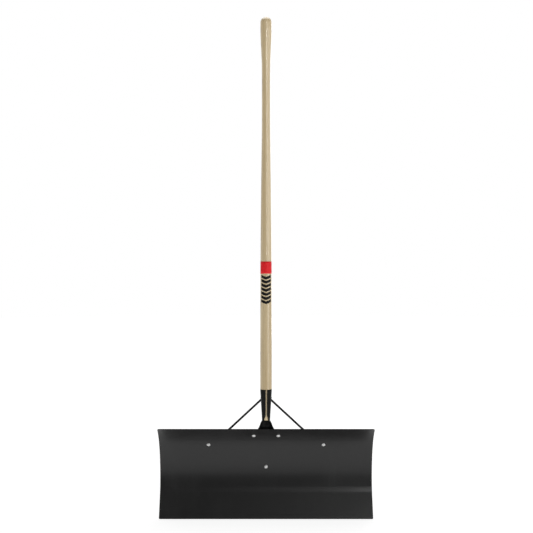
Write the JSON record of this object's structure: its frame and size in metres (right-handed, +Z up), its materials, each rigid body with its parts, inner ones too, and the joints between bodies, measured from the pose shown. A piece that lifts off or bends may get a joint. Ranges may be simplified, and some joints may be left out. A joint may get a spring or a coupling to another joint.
{
  "type": "snow shovel",
  "caption": "Snow pusher with a curved black steel blade, a riveted open-seam socket, two rod braces and a long turned wooden handle.",
  "frame": {"origin": "middle of the blade's cutting edge, on its lowest line", "axes": "+X across the blade to the right as seen from the front, +Y backwards, away from the snow, +Z up along the handle"},
  "size_m": [0.61, 0.1068, 1.4179],
  "materials": {
    "blade_paint": "satin",
    "socket_enamel": "semi-gloss",
    "ash_wood": "lacquered",
    "rivet_steel": "plated",
    "zinc_plate": "zinc plated",
    "red_ink": "printed ink on wood",
    "black_ink": "printed ink on wood"
  },
  "bodies": {
    "root": {"blade": "blade_paint", "socket": "socket_enamel", "handle": "ash_wood", "brace_left": "socket_enamel", "brace_right": "socket_enamel", "handle_rivet": "socket_enamel", "brace_screw": "zinc_plate", "brace_washer": "zinc_plate", "socket_rivet_left": "rivet_steel", "socket_rivet_right": "rivet_steel", "socket_rivet_lower": "rivet_steel", "brace_rivet_left": "rivet_steel", "brace_rivet_right": "rivet_steel"}
  },
  "joints": []
}
